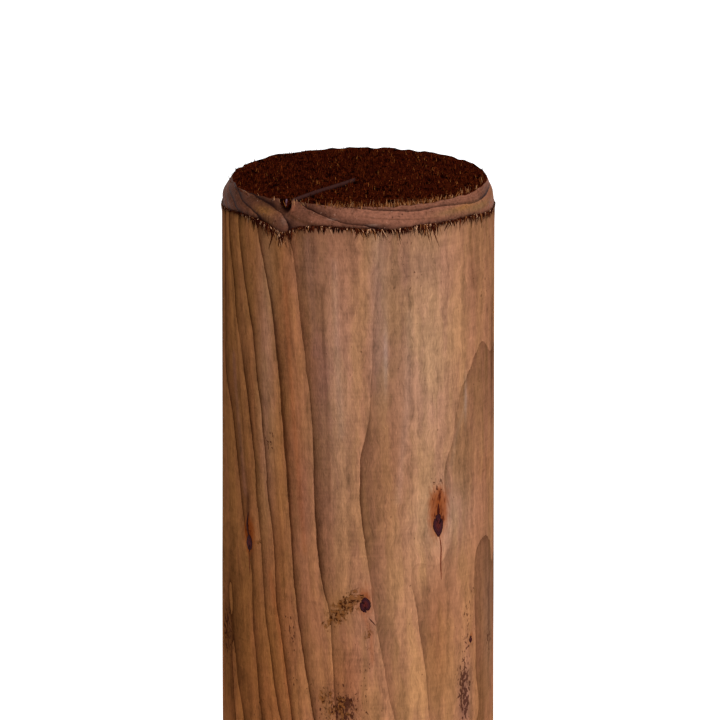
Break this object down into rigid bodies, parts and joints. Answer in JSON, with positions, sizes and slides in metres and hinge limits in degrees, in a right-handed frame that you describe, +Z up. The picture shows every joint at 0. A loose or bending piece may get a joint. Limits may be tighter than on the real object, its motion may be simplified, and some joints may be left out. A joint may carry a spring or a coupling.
{
  "type": "round wooden fence post",
  "caption": "Round softwood fence post from ground level up, with a turned shaft, chamfered head, sawn end, knots and a drying check.",
  "frame": {"origin": "centre of the post's base face at ground level, on the axis of the shaft", "axes": "+Z up along the shaft, -Y towards the front of the post, +X to the right seen from the front"},
  "size_m": [0.1, 0.0999, 1.2],
  "materials": {
    "treated_softwood": "turned smooth, brown pressure treatment, end grain much darker"
  },
  "bodies": {
    "root": {"post": "treated_softwood"}
  },
  "joints": []
}
